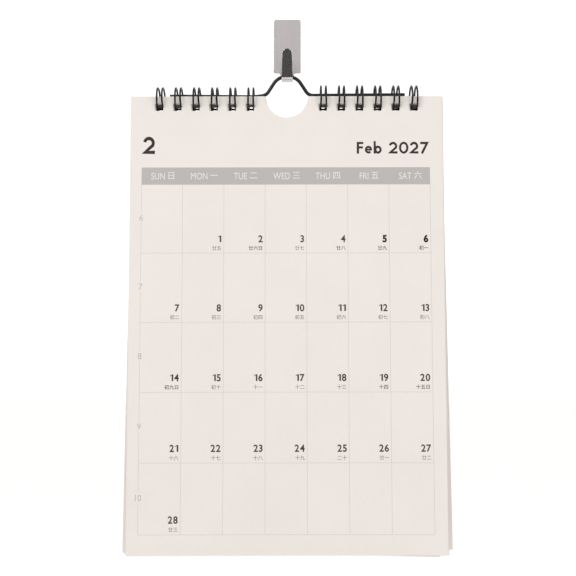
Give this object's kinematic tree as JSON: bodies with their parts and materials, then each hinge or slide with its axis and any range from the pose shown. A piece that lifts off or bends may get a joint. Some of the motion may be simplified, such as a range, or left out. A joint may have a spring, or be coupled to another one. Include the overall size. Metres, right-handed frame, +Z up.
{
  "type": "wall calendar",
  "caption": "Wire-bound monthly wall calendar with a bent hanger wire, its leaves turning on twin-wire loops, hanging from an adhesive steel hook.",
  "frame": {"origin": "centre of the hook's adhesive back face, on the wall plane", "axes": "+Z up, +Y into the wall, -Y the way the calendar faces, +X to the right as it is read"},
  "size_m": [0.1504, 0.0117, 0.2513],
  "materials": {
    "brushed_steel": "fine vertical brushing, bright",
    "foam_tape": "matte foam tape",
    "hanger_black": "satin black coating",
    "binding_black": "glossy black coating",
    "warm_paper": "uncoated warm white paper, matte",
    "grey_board": "uncoated grey board, matte"
  },
  "bodies": {
    "wall_hook": {"hook_plate": "brushed_steel", "adhesive_pad": "foam_tape"},
    "hanger": {"hanger_wire": "hanger_black"},
    "calendar": {"binding_wire_left": "binding_black", "binding_wire_right": "binding_black", "page_block": "warm_paper", "backing_board": "grey_board"},
    "front_leaf": {"february_leaf": "warm_paper"},
    "turned_cover": {"cover_leaf": "warm_paper"},
    "turned_january": {"january_leaf": "warm_paper"}
  },
  "joints": [
    {"name": "hanger_sway", "type": "hinge", "parent": "wall_hook", "child": "hanger", "pos_m": [0, -0.0039, -0.02035], "axis": [0, -1, 0], "range_deg": [-8, 8]},
    {"name": "calendar_swing", "type": "hinge", "parent": "hanger", "child": "calendar", "pos_m": [0, -0.0039, -0.02458], "axis": [-1, 0, 0], "range_deg": [0, 45]},
    {"name": "february_turn", "type": "hinge", "parent": "calendar", "child": "front_leaf", "pos_m": [0, -0.006, -0.0267], "axis": [-1, 0, 0], "range_deg": [0, 85]},
    {"name": "cover_turn", "type": "hinge", "parent": "calendar", "child": "turned_cover", "pos_m": [0, -0.006, -0.0267], "axis": [1, 0, 0], "range_deg": [0, 6]},
    {"name": "january_turn", "type": "hinge", "parent": "turned_cover", "child": "turned_january", "pos_m": [0, -0.006, -0.0267], "axis": [1, 0, 0], "range_deg": [0, 5]}
  ]
}
